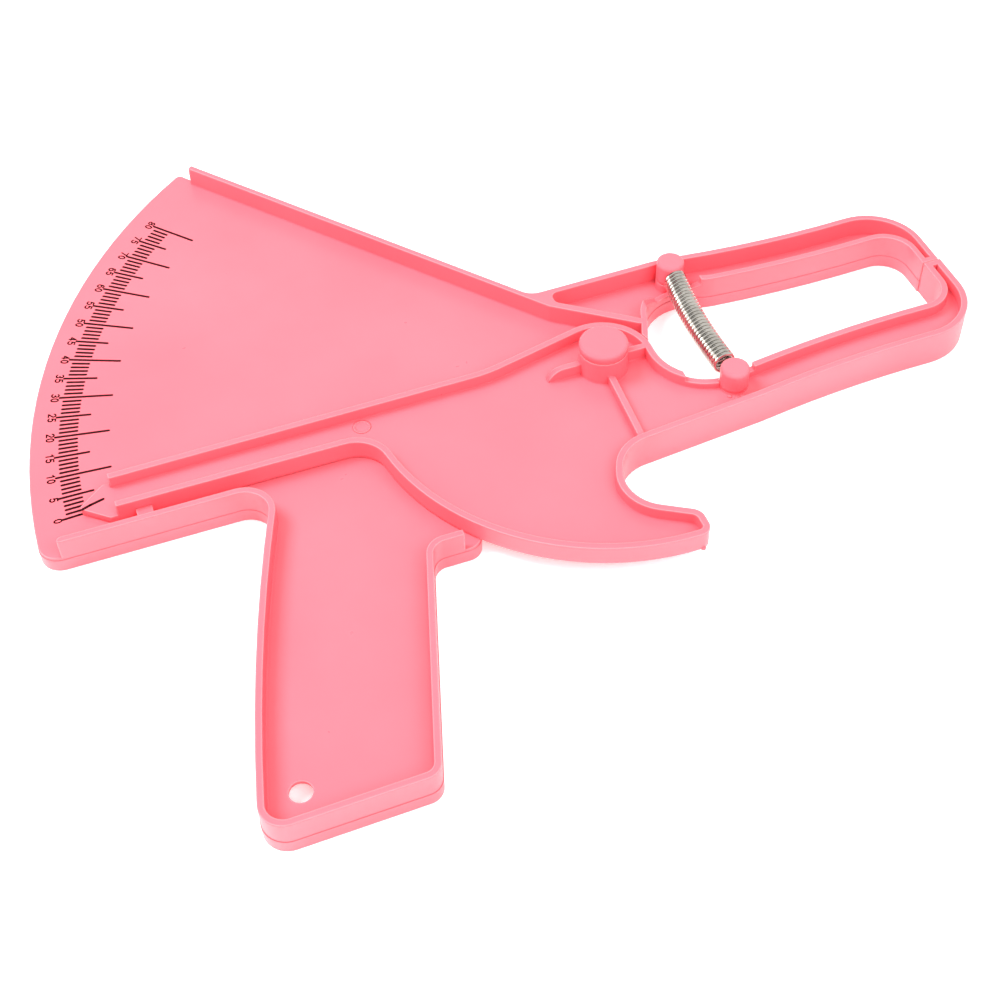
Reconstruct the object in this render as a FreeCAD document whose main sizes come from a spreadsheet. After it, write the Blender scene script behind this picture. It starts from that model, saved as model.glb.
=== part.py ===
"""Skinfold caliper: a frame with a scale sector and grip, and a sprung trigger arm.

Frame of the part: the pivot axis is the Z axis, Z = 0 is the plane that the back
rims rest on, the pointer lies along -X and the jaws reach along +X.
Lengths are in millimetres and angles in degrees.
"""
import FreeCAD, Part
import math
import os

import Sketcher

# Driving dimensions. A position ends in _x or _y and is counted from the pivot axis.
SIZES = {
    # heights, from the resting plane upwards
    "back_rim": 2.7,
    "web": 2.0,
    "front_rim": 6.0,
    "wall": 1.8,
    "parting_height": 3.8,
    "parting_step": 0.14,
    # scale sector
    "sector_radius": 175.0,
    "sector_x": 17.2,
    "sector_y": -6.7,
    "sector_low_corner": 5.6,
    "sector_top_corner": 1.6,
    "rim_drop": 12.7,
    "rim_start_x": -152.6,
    "rim_end_corner": 1.4,
    "flange_angle": 50.77,
    "flange_offset": 12.65,
    "flange_wall": 1.6,
    "flange_end": 152.6,
    # grip
    "grip_bend": 6.5,
    "grip_back_x": -111.6,
    "grip_back_y": -54.4,
    "grip_back_lean": 17.1,
    "grip_back_radius": 580.0,
    "grip_back_corner": 6.2,
    "grip_front_corner": 4.4,
    "grip_bottom": 110.8,
    "grip_bottom_tilt": 1.05,
    "grip_middle_x": -103.0,
    "grip_front_x": -71.7,
    "grip_front_y": -70.6,
    "grip_front_lean": 16.5,
    "hang_hole_diameter": 5.6,
    "hang_hole_x": -113.9,
    "hang_hole_y": -100.0,
    "hang_relief": 1.0,
    "hang_relief_wall": 1.0,
    # nub above the grip and edge behind the arm
    "nub_bend": 4.0,
    "nub_face": 46.6,
    "nub_corner": 4.4,
    "nub_end_x": -50.7,
    "nub_rim_end_x": -56.3,
    "finger_bend": 8.0,
    "hub_radius": 14.0,
    "hub_edge_angle": 68.0,
    "hub_edge_offset": 12.6,
    # round eye and fixed jaw
    "eye_x": 31.5,
    "eye_y": 7.3,
    "eye_radius": 14.1,
    "eye_blend": 15.0,
    "jaw_under_x": 76.0,
    "jaw_under_y": 17.37,
    "jaw_under_radius": 400.0,
    "jaw_inner_corner": 7.8,
    "jaw_reach": 105.9,
    "jaw_tip": 5.2,
    "jaw_outer_corner": 15.8,
    "jaw_top_x": 76.5,
    "jaw_top_y": 29.15,
    "jaw_top_radius": 313.0,
    "jaw_bend": 60.0,
    "jaw_root_x": 10.0,
    "jaw_root_y": 31.9,
    "jaw_root_tilt": 1.13,
    "root_fillet": 6.0,
    "contact_y": 3.0,
    "contact_gap": 0.1,
    "brace_angle": 36.9,
    "brace_offset": 16.3,
    "brace_wall": 2.0,
    "channel_end_x": -4.0,
    "channel_corner": 2.0,
    # dip in the eye's wall, where the spring passes
    "dip_start_x": 19.2,
    "dip_low_x": 25.0,
    "dip_high_x": 34.0,
    "dip_end_x": 38.6,
    "dip_low": 1.3,
    "dip_high": 3.9,
    # stop peg
    "peg_x": -129.6,
    "peg_width": 4.2,
    "peg_height": 3.2,
    "stop_gap": 0.1,
    # trigger arm
    "arm_gap": 0.3,
    "arm_web": 2.1,
    "arm_wall": 1.8,
    "arm_hub_radius": 14.2,
    "pointer_drop": 5.8,
    "pointer_rise": 6.55,
    "pointer_middle_x": -97.0,
    "pointer_taper": 0.56,
    "pointer_wall_end_x": -136.3,
    "neck_angle": 13.0,
    "neck_bend": 40.0,
    "tip_x": -145.4,
    "tip_y": 0.2,
    "tip_angle": 40.0,
    "tip_radius": 0.8,
    "bulge_x": -1.7,
    "bulge_y": -1.65,
    "bulge_radius": 66.05,
    "bulge_bend": 9.0,
    "hook_end_x": 2.1,
    "hook_corner": 3.0,
    "hook_nose": 3.9,
    "hook_face_x": -4.8,
    "hook_depth": 11.7,
    "hook_face_lean": 31.1,
    "notch_radius": 11.0,
    "notch_back_x": -11.35,
    "notch_back_y": -41.2,
    "notch_back_lean": 68.0,
    "notch_bend": 11.6,
    "jaw_low_root_x": 10.9,
    "jaw_low_root_y": -30.93,
    "jaw_low_root_tilt": 5.4,
    "jaw_low_x": 87.1,
    "jaw_low_y": -24.8,
    "jaw_low_radius": 352.0,
    "jaw_up_x": 90.8,
    "jaw_up_y": -12.6,
    "jaw_up_radius": 389.0,
    "arm_overhang": 0.3,
    "arm_jaw_corner": 16.8,
    "arm_eye_radius": 14.5,
    "skirt_start_y": -40.5,
    "skirt_inner_x": 33.0,
    "step_start_x": 18.1,
    "step_end_x": 37.2,
    "step_top": 4.4,
    "rib_width": 1.8,
    "rib_y": 0.4,
    "low_rib_top": 5.2,
    "rib_left": 16.4,
    "rib_round": 4.8,
    "rib_low_lean": 2.6,
    # pivot
    "pin_diameter": 5.0,
    "pin_running": 0.05,
    "pin_head_diameter": 9.0,
    "pin_head": 1.5,
    "pin_recess": 0.6,
    "boss_diameter": 13.5,
    "boss_rise": 3.5,
    "thrust_gap": 0.1,
    "cap_height": 2.5,
    "cap_roof": 1.2,
    "cap_edge": 0.8,
    # tension spring and its caps
    "upper_post_x": 31.8,
    "upper_post_y": 26.9,
    "lower_post_x": 30.4,
    "lower_post_y": -19.4,
    "post_diameter": 3.0,
    "spring_cap_diameter": 7.9,
    "spring_cap_base": 3.0,
    "spring_cap_top": 9.4,
    "spring_cap_roof": 1.8,
    "spring_cap_edge": 0.8,
    "cap_notch": 0.1,
    "cap_room": 0.2,
    "spring_height": 4.7,
    "spring_diameter": 6.3,
    "wire_diameter": 1.25,
    "coil_gap": 0.06,
    "coil_shift": 0.8,
}

doc = FreeCAD.newDocument("skinfold_caliper")
sheet = doc.addObject("Spreadsheet::Sheet", "Sizes")
for row, (name, value) in enumerate(SIZES.items(), start=1):
    sheet.set(f"A{row}", name)
    sheet.set(f"B{row}", str(value))
    sheet.setAlias(f"B{row}", name)
doc.recompute()


# ---- sizes that remember their expression -------------------------------------------

class Size:
    """A number together with the sheet expression that gives it."""

    def __init__(self, value, text):
        self.value = value
        self.text = text

    def __add__(self, other):
        other = size(other)
        return Size(self.value + other.value, f"({self.text} + {other.text})")

    def __sub__(self, other):
        other = size(other)
        return Size(self.value - other.value, f"({self.text} - {other.text})")

    def __mul__(self, other):
        other = size(other)
        return Size(self.value * other.value, f"({self.text} * {other.text})")

    def __truediv__(self, other):
        other = size(other)
        return Size(self.value / other.value, f"({self.text} / {other.text})")

    def __neg__(self):
        return Size(-self.value, f"(0 - {self.text})")


def size(number):
    """A plain number as a Size; a Size stays as it is."""
    return number if isinstance(number, Size) else Size(float(number), repr(float(number)))


def cell(name):
    """The Size that the sheet holds under this name."""
    return Size(float(sheet.get(name)), f"Sizes.{name}")


def sin(angle):
    return Size(math.sin(math.radians(angle.value)), f"sin({angle.text} * 1deg)")


def cos(angle):
    return Size(math.cos(math.radians(angle.value)), f"cos({angle.text} * 1deg)")


# ---- outlines of lines and circles --------------------------------------------------

class Line:
    """An endless line with a heading and its distance from the pivot, counted to its left."""

    def __init__(self, heading, offset):
        self.heading = size(heading)
        self.offset = size(offset)

    def inset(self, distance):
        return Line(self.heading, self.offset + distance)

    def reverse(self):
        return Line(self.heading + 180, -self.offset)

    def direction(self, point):
        angle = math.radians(self.heading.value)
        return FreeCAD.Vector(math.cos(angle), math.sin(angle))

    def nearest(self, point):
        along = self.direction(point)
        left = FreeCAD.Vector(-along.y, along.x)
        return point + left * (self.offset.value - left.dot(point))


class Circle:
    """A circle walked round to the left (turn 1) or to the right (turn -1)."""

    def __init__(self, x, y, radius, turn):
        self.x = size(x)
        self.y = size(y)
        self.radius = size(radius)
        self.turn = turn

    def inset(self, distance):
        return Circle(self.x, self.y, self.radius - size(distance) * self.turn, self.turn)

    def reverse(self):
        return Circle(self.x, self.y, self.radius, -self.turn)

    def centre(self):
        return FreeCAD.Vector(self.x.value, self.y.value)

    def direction(self, point):
        spoke = (point - self.centre()).normalize()
        return FreeCAD.Vector(-spoke.y, spoke.x) * self.turn

    def nearest(self, point):
        return self.centre() + (point - self.centre()).normalize() * self.radius.value


def through(x, y, heading):
    """The line through a point with a heading."""
    heading = size(heading)
    return Line(heading, cos(heading) * y - sin(heading) * x)


def upright(x, heading):
    """A vertical line at x, walked up (90) or down (270)."""
    return Line(heading, -size(x) if heading == 90 else size(x))


def level(y, heading):
    """A horizontal line at y, walked right (0) or left (180)."""
    return Line(heading, size(y) if heading == 0 else -size(y))


def crossings(first, second):
    """Where two curves cross."""
    if isinstance(first, Circle) and isinstance(second, Line):
        return crossings(second, first)
    if isinstance(second, Circle):
        centre = second.centre()
        if isinstance(first, Line):
            foot = first.nearest(centre)
            along = first.direction(foot)
            half = math.sqrt(second.radius.value ** 2 - foot.distanceToPoint(centre) ** 2)
        else:
            span = centre - first.centre()
            gap = span.Length
            reach = (gap ** 2 + first.radius.value ** 2 - second.radius.value ** 2) / (2 * gap)
            foot = first.centre() + span * (reach / gap)
            along = FreeCAD.Vector(-span.y, span.x) / gap
            half = math.sqrt(first.radius.value ** 2 - reach ** 2)
        return [foot - along * half, foot + along * half]
    along_1 = first.direction(None)
    along_2 = second.direction(None)
    start = first.nearest(FreeCAD.Vector())
    left = FreeCAD.Vector(-along_2.y, along_2.x)
    step = (second.offset.value - left.dot(start)) / left.dot(along_1)
    return [start + along_1 * step]


PICKS = {
    "left": lambda point: point.x,
    "right": lambda point: -point.x,
    "bottom": lambda point: point.y,
    "top": lambda point: -point.y,
}


class Corner:
    """Where an outline passes from one curve to the next, sharp or rounded."""

    def __init__(self, curve, radius=0, pick="left"):
        self.curve = curve
        self.radius = size(radius)
        self.pick = pick


def turn_at(corner, following):
    """1 where the outline turns left into the following curve, -1 where it turns right."""
    point = min(crossings(corner.curve, following), key=PICKS[corner.pick])
    before = corner.curve.direction(point)
    after = following.direction(point)
    return 1 if before.x * after.y - before.y * after.x > 0 else -1


def inset_path(corners, distance, closed=True):
    """The path moved to its left, with the rounded corners moved along."""
    moved = []
    for index, corner in enumerate(corners):
        radius = corner.radius
        if radius.value > 0 and (closed or index < len(corners) - 1):
            following = corners[(index + 1) % len(corners)].curve
            radius = radius - size(distance) * turn_at(corner, following)
        if radius.value <= 0:
            radius = size(0)
        moved.append(Corner(corner.curve.inset(distance), radius, corner.pick))
    return moved


def reverse_path(corners):
    """The open path walked from its end to its start."""
    turned = []
    for index in range(len(corners) - 1, -1, -1):
        joint = corners[index - 1] if index else Corner(corners[index].curve)
        turned.append(Corner(corners[index].curve.reverse(), joint.radius, joint.pick))
    return turned


def band(corners, thickness, end_cap, start_cap):
    """A closed wall of one thickness along the left of an open path."""
    last = corners[-1]
    back = reverse_path(inset_path(corners, thickness, closed=False))
    ahead = corners[:-1] + [Corner(last.curve, 0, last.pick)]
    back = back[:-1] + [Corner(back[-1].curve)]
    return ahead + [Corner(end_cap, 0, last.pick)] + back + [Corner(start_cap)]


# ---- sketches -----------------------------------------------------------------------

def origin_plane(body, role):
    return next(item for item in body.Origin.OriginFeatures if item.Role == role)


def new_sketch(body, name, height, plane="XY_Plane"):
    """An empty sketch on one of the body's planes, raised by a bound height."""
    sketch = body.newObject("Sketcher::SketchObject", name)
    sketch.AttachmentSupport = [(origin_plane(body, plane), "")]
    sketch.MapMode = "FlatFace"
    height = size(height)
    sketch.AttachmentOffset = FreeCAD.Placement(FreeCAD.Vector(0, 0, height.value), FreeCAD.Rotation())
    sketch.setExpression("AttachmentOffset.Base.z", height.text)
    return sketch


def bind(sketch, dimensions):
    """Add dimensions, given as pairs of constraint and Size, and bind each to its expression."""
    indices = sketch.addConstraint([constraint for constraint, _ in dimensions])
    for index, (_, value) in zip(indices, dimensions):
        sketch.setExpression(f"Constraints[{index}]", value.text)


def point_dimensions(index, position, x, y):
    """The dimensions that fix one point of a piece of geometry."""
    return [
        (Sketcher.Constraint("DistanceX", -1, 1, index, position, x.value), x),
        (Sketcher.Constraint("DistanceY", -1, 1, index, position, y.value), y),
    ]


def circle_dimensions(index, x, y, radius):
    """The dimensions of a circle or arc; the sketcher numbers its centre 3."""
    size_of = (Sketcher.Constraint("Radius", index, radius.value), radius)
    return point_dimensions(index, 3, x, y) + [size_of]


def draw_hole(sketch, x, y, diameter):
    """A full circle in a sketch."""
    x = size(x)
    y = size(y)
    radius = size(diameter) / 2
    centre = FreeCAD.Vector(x.value, y.value)
    index = sketch.addGeometry(Part.Circle(centre, FreeCAD.Vector(0, 0, 1), radius.value))
    bind(sketch, circle_dimensions(index, x, y, radius))


def draw_arc(sketch, centre, radius, turn, begin, end):
    """An arc from begin to end; returns its index and the positions of its begin and end."""
    first, last = (begin, end) if turn > 0 else (end, begin)
    angles = [math.atan2(point.y - centre.y, point.x - centre.x) for point in (first, last)]
    circle = Part.Circle(centre, FreeCAD.Vector(0, 0, 1), radius)
    index = sketch.addGeometry(Part.ArcOfCircle(circle, angles[0], angles[1]))
    return (index, 1, 2) if turn > 0 else (index, 2, 1)


def draw_outline(sketch, corners):
    """A closed outline of lines and arcs, each fixed by its own bound dimensions."""
    count = len(corners)
    joints = []
    for index, corner in enumerate(corners):
        first = corner.curve
        second = corners[(index + 1) % count].curve
        point = min(crossings(first, second), key=PICKS[corner.pick])
        if corner.radius.value > 0:
            turn = turn_at(corner, second)
            reach = corner.radius.value * turn
            centres = crossings(first.inset(reach), second.inset(reach))
            centre = min(centres, key=point.distanceToPoint)
            joints.append((first.nearest(centre), second.nearest(centre), centre, turn))
        else:
            joints.append((point, point, None, 0))
    pieces = []
    for index, corner in enumerate(corners):
        curve = corner.curve
        begin = joints[index - 1][1]
        end = joints[index][0]
        if isinstance(curve, Line):
            geometry = sketch.addGeometry(Part.LineSegment(begin, end))
            pieces.append((geometry, 1, 2))
        else:
            radius = curve.radius.value
            pieces.append(draw_arc(sketch, curve.centre(), radius, curve.turn, begin, end))
    rounds = []
    for index, corner in enumerate(corners):
        before, after, centre, turn = joints[index]
        if centre is None:
            rounds.append(None)
        else:
            rounds.append(draw_arc(sketch, centre, corner.radius.value, turn, before, after))
    links = []
    for index, rounding in enumerate(rounds):
        this, _, this_end = pieces[index]
        following, next_begin, _ = pieces[(index + 1) % count]
        if rounding is None:
            links.append(Sketcher.Constraint("Coincident", this, this_end, following, next_begin))
        else:
            arc, arc_begin, arc_end = rounding
            links.append(Sketcher.Constraint("Tangent", this, this_end, arc, arc_begin))
            links.append(Sketcher.Constraint("Tangent", arc, arc_end, following, next_begin))
    dimensions = []
    for index, corner in enumerate(corners):
        geometry = pieces[index][0]
        dimensions += curve_dimensions(geometry, corner.curve)
        if is_square(corner.curve):
            across = corner.curve.heading.value % 180 == 0
            links.append(Sketcher.Constraint("Horizontal" if across else "Vertical", geometry))
        if rounds[index] is not None:
            radius = corner.radius
            rounding = Sketcher.Constraint("Radius", rounds[index][0], radius.value)
            dimensions.append((rounding, radius))
    sketch.addConstraint(links)
    bind(sketch, dimensions)


def is_square(curve):
    return isinstance(curve, Line) and curve.heading.value % 90 == 0


def curve_dimensions(index, curve):
    """What fixes a line, its heading and distance from the pivot, or a circle, its centre."""
    if isinstance(curve, Circle):
        return circle_dimensions(index, curve.x, curve.y, curve.radius)
    heading = curve.heading.value % 360
    offset = curve.offset
    if is_square(curve):
        away = offset if heading in (0, 270) else -offset
        kind = "DistanceY" if heading in (0, 180) else "DistanceX"
        return [(Sketcher.Constraint(kind, -1, 1, index, 1, away.value), away)]
    angle = Size(math.radians(curve.heading.value), f"({curve.heading.text}) * 1deg")
    distance = offset if offset.value > 0 else -offset
    return [
        (Sketcher.Constraint("Angle", index, angle.value), angle),
        (Sketcher.Constraint("Distance", -1, 1, index, distance.value), distance),
    ]


# ---- features -----------------------------------------------------------------------

def extrude(body, kind, name, sketch, length, backwards=False):
    """A Pad or Pocket of a bound length; backwards turns it against its usual way."""
    length = size(length)
    feature = body.newObject(f"PartDesign::{kind}", name)
    feature.Profile = sketch
    feature.Length = length.value
    feature.Reversed = backwards
    feature.setExpression("Length", length.text)
    sketch.Visibility = False
    return feature


def pad(body, name, outlines, bottom, top):
    """Material inside the outlines, from one height to another."""
    sketch = new_sketch(body, f"{name}_outline", bottom)
    for outline in outlines:
        draw_outline(sketch, outline)
    return extrude(body, "Pad", name, sketch, size(top) - bottom)


def pocket(body, name, outlines, bottom, top):
    """Cut the outlines away, from one height to another."""
    sketch = new_sketch(body, f"{name}_outline", top)
    for outline in outlines:
        draw_outline(sketch, outline)
    return extrude(body, "Pocket", name, sketch, size(top) - bottom)


def disc(body, kind, name, x, y, diameter, bottom, top):
    """A round boss (Pad) or hole (Pocket), from one height to another."""
    base = bottom if kind == "Pad" else top
    sketch = new_sketch(body, f"{name}_circle", base)
    draw_hole(sketch, x, y, diameter)
    return extrude(body, kind, name, sketch, size(top) - bottom)


def box_outline(left, bottom, right, top):
    return [
        Corner(level(bottom, 0)),
        Corner(upright(right, 90)),
        Corner(level(top, 180)),
        Corner(upright(left, 270)),
    ]


def new_body(name):
    body = doc.addObject("PartDesign::Body", name)
    body.Label = name
    return body


# ---- shared heights and places ------------------------------------------------------

web_bottom = cell("back_rim")
web_top = web_bottom + cell("web")
rim_top = web_top + cell("front_rim")
arm_bottom = web_top + cell("arm_gap")
arm_web_top = arm_bottom + cell("arm_web")
boss_top = rim_top + cell("boss_rise")
spring_axis = web_top + cell("spring_height")
spring_cap_bottom = web_top + cell("spring_cap_base")
spring_cap_top = web_top + cell("spring_cap_top")
post_top = spring_cap_top - cell("spring_cap_roof")
parting = cell("parting_height")
parting_step = cell("parting_step")
wall = cell("wall")
arm_wall = cell("arm_wall")
arm_reach = cell("jaw_reach") + cell("arm_overhang")
flange_heading = size(180) - cell("flange_angle")
frame_contact_y = cell("contact_y") + cell("contact_gap") / 2
arm_contact_y = cell("contact_y") - cell("contact_gap") / 2


# ---- frame --------------------------------------------------------------------------

def grip_path():
    """The lower edge of the frame, from the scale rim round the grip to the nub."""
    back_lean = cell("grip_back_lean")
    back_radius = cell("grip_back_radius")
    back = Circle(
        cell("grip_back_x") + back_radius * cos(back_lean),
        cell("grip_back_y") - back_radius * sin(back_lean),
        back_radius,
        1,
    )
    front = through(cell("grip_front_x"), cell("grip_front_y"), size(90) - cell("grip_front_lean"))
    bottom = through(cell("grip_middle_x"), -cell("grip_bottom"), cell("grip_bottom_tilt"))
    return [
        Corner(level(-cell("rim_drop"), 0), cell("grip_bend")),
        Corner(back, cell("grip_back_corner")),
        Corner(bottom, cell("grip_front_corner")),
        Corner(front, cell("nub_bend")),
        Corner(level(-cell("nub_face"), 0)),
    ]


def hollow_edge(name, side, turn):
    """A long arc that a jaw's edge follows; its middle is at the named x and y."""
    radius = cell(f"{name}_radius")
    return Circle(cell(f"{name}_x"), cell(f"{name}_y") + radius * side, radius, turn)


def jaw_path():
    """The fixed jaw, from the eye along its underside and round its tip to the root."""
    eye = Circle(cell("eye_x"), cell("eye_y"), cell("eye_radius"), -1)
    under = hollow_edge("jaw_under", 1, 1)
    top = hollow_edge("jaw_top", 1, -1)
    root = through(cell("jaw_root_x"), cell("jaw_root_y"), size(180) + cell("jaw_root_tilt"))
    return [
        Corner(eye, cell("eye_blend"), "right"),
        Corner(under, cell("jaw_inner_corner"), "bottom"),
        Corner(upright(cell("jaw_reach") - cell("jaw_tip"), 270)),
        Corner(level(frame_contact_y, 0)),
        Corner(upright(cell("jaw_reach"), 90), cell("jaw_outer_corner"), "bottom"),
        Corner(top, cell("jaw_bend"), "left"),
        Corner(root, cell("root_fillet")),
    ]


def frame_outline():
    """The whole silhouette of the frame."""
    nub_end = Corner(upright(cell("nub_end_x"), 90), cell("finger_bend"))
    finger_edge = Corner(level(-cell("hub_radius"), 0), cell("hub_radius"))
    hub_edge = Corner(Line(cell("hub_edge_angle"), -cell("hub_edge_offset")), 0, "bottom")
    flange_line = Line(flange_heading, -cell("flange_offset"))
    flange = Corner(flange_line, cell("sector_top_corner"), "top")
    arc = Circle(cell("sector_x"), cell("sector_y"), cell("sector_radius"), 1)
    grip = grip_path()
    grip[-1].radius = cell("nub_corner")
    sector = Corner(arc, cell("sector_low_corner"))
    return grip + [nub_end, finger_edge, hub_edge] + jaw_path() + [flange, sector]


def jaw_block_outline():
    """The raised part of the frame: wall of the eye, fixed jaw, brace wall and flange."""
    flange = Line(flange_heading, -cell("flange_offset"))
    hub_edge = Line(cell("hub_edge_angle"), -cell("hub_edge_offset"))
    edges = [Corner(hub_edge, 0, "bottom")] + jaw_path() + [Corner(flange)]
    end = Line(flange_heading + 90, -cell("flange_end"))
    inner = flange.inset(cell("flange_wall")).reverse()
    brace = Line(-cell("brace_angle"), cell("brace_offset"))
    clear_of_arm = Circle(0, 0, cell("arm_hub_radius") + cell("arm_gap"), -1)
    return inset_path(edges, parting_step, closed=False) + [
        Corner(end),
        Corner(inner),
        Corner(brace),
        Corner(hub_edge.inset(wall).reverse(), 0, "top"),
        Corner(clear_of_arm, 0, "top"),
    ]


def jaw_channel_outline():
    """The channel between the walls of the fixed jaw."""
    inner = inset_path(jaw_path(), wall, closed=False)
    inner[-1].radius = cell("channel_corner")
    brace = Line(-cell("brace_angle"), cell("brace_offset") + cell("brace_wall"))
    end = upright(cell("channel_end_x"), 270)
    return inner + [Corner(end, cell("channel_corner")), Corner(brace)]


def build_frame():
    body = new_body("frame")
    outline = frame_outline()
    pad(body, "plate_back", [outline], web_bottom, parting)
    pad(body, "plate_front", [inset_path(outline, parting_step)], parting, web_top)
    pad(body, "back_rims", [outline, inset_path(outline, wall)], 0, web_bottom)
    pad(body, "jaw_block", [jaw_block_outline()], web_top, rim_top)
    pocket(body, "jaw_channel", [jaw_channel_outline()], web_top, rim_top)
    rim_start = upright(cell("rim_start_x"), 270)
    rim_end = upright(cell("nub_rim_end_x"), 90)
    grip = inset_path(grip_path(), parting_step, closed=False)
    grip_rim = band(grip, wall - parting_step, rim_end, rim_start)
    grip_rim[-2].radius = cell("rim_end_corner")
    pad(body, "grip_rim", [grip_rim], web_top, rim_top)
    cut_dip(body)
    add_peg(body)
    post_x = cell("upper_post_x")
    post_y = cell("upper_post_y")
    pedestal = cell("spring_cap_diameter")
    notch = pedestal + cell("cap_notch") * 2
    disc(body, "Pocket", "cap_notch", post_x, post_y, notch, spring_cap_bottom, rim_top)
    disc(body, "Pad", "pedestal", post_x, post_y, pedestal, web_top, spring_cap_bottom)
    disc(body, "Pad", "post", post_x, post_y, cell("post_diameter"), web_top, post_top)
    thrust_top = arm_bottom - cell("thrust_gap")
    disc(body, "Pad", "hub_back", 0, 0, cell("boss_diameter"), 0, web_bottom)
    disc(body, "Pad", "thrust_face", 0, 0, cell("boss_diameter"), web_top, thrust_top)
    disc(body, "Pocket", "pin_hole", 0, 0, cell("pin_diameter"), 0, thrust_top)
    head_top = cell("pin_recess") + cell("pin_head")
    disc(body, "Pocket", "head_recess", 0, 0, cell("pin_head_diameter"), 0, head_top)
    hang_x = cell("hang_hole_x")
    hang_y = cell("hang_hole_y")
    hang = cell("hang_hole_diameter")
    relief = hang + cell("hang_relief_wall") * 2
    relief_top = web_top - cell("hang_relief")
    disc(body, "Pocket", "hang_hole", hang_x, hang_y, hang, 0, web_top)
    disc(body, "Pocket", "hang_relief", hang_x, hang_y, relief, 0, relief_top)
    return body


def cut_dip(body):
    """Lower the eye's wall between the brace and the jaw, so that the spring passes over."""
    low = web_top + cell("dip_low")
    high = web_top + cell("dip_high")
    back = cell("eye_y") + cell("eye_radius") + wall
    ramp = [
        (cell("dip_start_x"), rim_top),
        (cell("dip_low_x"), low),
        (cell("dip_high_x"), low),
        (cell("dip_end_x"), high),
        (cell("dip_end_x"), rim_top),
    ]
    cut_sideways(body, "dip", ramp, cell("eye_y"), back)


def cut_sideways(body, name, corners, near_y, far_y):
    """Cut a profile of x and height away, from one y to a larger one."""
    sketch = new_sketch(body, f"{name}_profile", -far_y, "XZ_Plane")
    draw_polygon(sketch, corners)
    extrude(body, "Pocket", name, sketch, far_y - near_y, backwards=True)


def draw_polygon(sketch, points):
    """A closed polygon whose corners are bound to their coordinates."""
    count = len(points)
    spots = [FreeCAD.Vector(x.value, y.value) for x, y in points]
    for index in range(count):
        sketch.addGeometry(Part.LineSegment(spots[index], spots[(index + 1) % count]))
    links = []
    dimensions = []
    for index, (x, y) in enumerate(points):
        links.append(Sketcher.Constraint("Coincident", (index - 1) % count, 2, index, 1))
        dimensions += point_dimensions(index, 1, x, y)
    sketch.addConstraint(links)
    bind(sketch, dimensions)


def add_peg(body):
    """The peg that the closed arm rests against."""
    half = cell("peg_width") / 2
    outline = box_outline(
        cell("peg_x") - half,
        -cell("rim_drop") + wall / 2,
        cell("peg_x") + half,
        -cell("pointer_drop") - cell("stop_gap"),
    )
    pad(body, "stop_peg", [outline], web_top, web_top + cell("peg_height"))


# ---- trigger arm --------------------------------------------------------------------

def moving_jaw_path():
    """The moving jaw, from the notch round its tip and back to the eye."""
    notch_back = through(cell("notch_back_x"), cell("notch_back_y"), cell("notch_back_lean"))
    root = through(cell("jaw_low_root_x"), cell("jaw_low_root_y"), cell("jaw_low_root_tilt"))
    low = hollow_edge("jaw_low", -1, -1)
    up = hollow_edge("jaw_up", -1, 1)
    return [
        Corner(notch_back, cell("notch_bend")),
        Corner(root, cell("jaw_bend"), "left"),
        Corner(low, cell("arm_jaw_corner"), "top"),
        Corner(upright(arm_reach, 90)),
        Corner(level(arm_contact_y, 180)),
        Corner(upright(arm_reach - cell("jaw_tip"), 270), cell("jaw_inner_corner"), "top"),
        Corner(up, 0, "top"),
    ]


def arm_outline():
    """The whole silhouette of the trigger arm."""
    bulge = Circle(cell("bulge_x"), cell("bulge_y"), cell("bulge_radius"), 1)
    hook_face_y = cell("bulge_y") - cell("bulge_radius") + cell("hook_depth")
    hook_face = through(cell("hook_face_x"), hook_face_y, size(180) - cell("hook_face_lean"))
    trigger = [
        Corner(level(-cell("pointer_drop"), 0), cell("bulge_bend")),
        Corner(bulge, cell("hook_corner"), "bottom"),
        Corner(upright(cell("hook_end_x"), 90), cell("hook_nose")),
        Corner(hook_face, cell("notch_radius")),
    ]
    jaw = moving_jaw_path()
    jaw[-1].radius = cell("arm_eye_radius")
    hub = cell("arm_hub_radius")
    tip_angle = cell("tip_angle")
    pointer = [
        Corner(Line(90, -hub), hub),
        Corner(Line(size(180) + cell("neck_angle"), -hub), cell("neck_bend")),
        Corner(
            through(cell("pointer_middle_x"), cell("pointer_rise"), size(180) + cell("pointer_taper")),
            cell("tip_radius"),
        ),
        Corner(through(cell("tip_x"), cell("tip_y"), size(180) + tip_angle), cell("tip_radius")),
        Corner(through(cell("tip_x"), cell("tip_y"), -tip_angle)),
    ]
    return trigger + jaw + pointer


def add_ribs(body):
    """The three ribs that tie the pivot boss to the walls."""
    half = cell("rib_width") / 2
    middle = cell("rib_y")
    left_rib = [
        Corner(level(arm_bottom, 0)),
        Corner(upright(0, 90)),
        Corner(level(rim_top, 180), cell("rib_round")),
        Corner(upright(-cell("rib_left"), 270)),
    ]
    sketch = new_sketch(body, "left_rib_profile", -(middle + half), "XZ_Plane")
    draw_outline(sketch, left_rib)
    extrude(body, "Pad", "left_rib", sketch, half * 2)
    hub_inside = cell("arm_hub_radius") - arm_wall / 2
    right_rib = box_outline(0, middle - half, hub_inside, middle + half)
    pad(body, "right_rib", [right_rib], arm_bottom, rim_top)
    lean = size(270) - cell("rib_low_lean")
    reach = -cell("jaw_low_root_y") - arm_wall / 2
    low_rib = [
        Corner(Line(lean, -half)),
        Corner(level(-reach, 0)),
        Corner(Line(lean + 180, -half)),
        Corner(level(0, 180)),
    ]
    pad(body, "low_rib", [low_rib], arm_bottom, web_top + cell("low_rib_top"))


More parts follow.
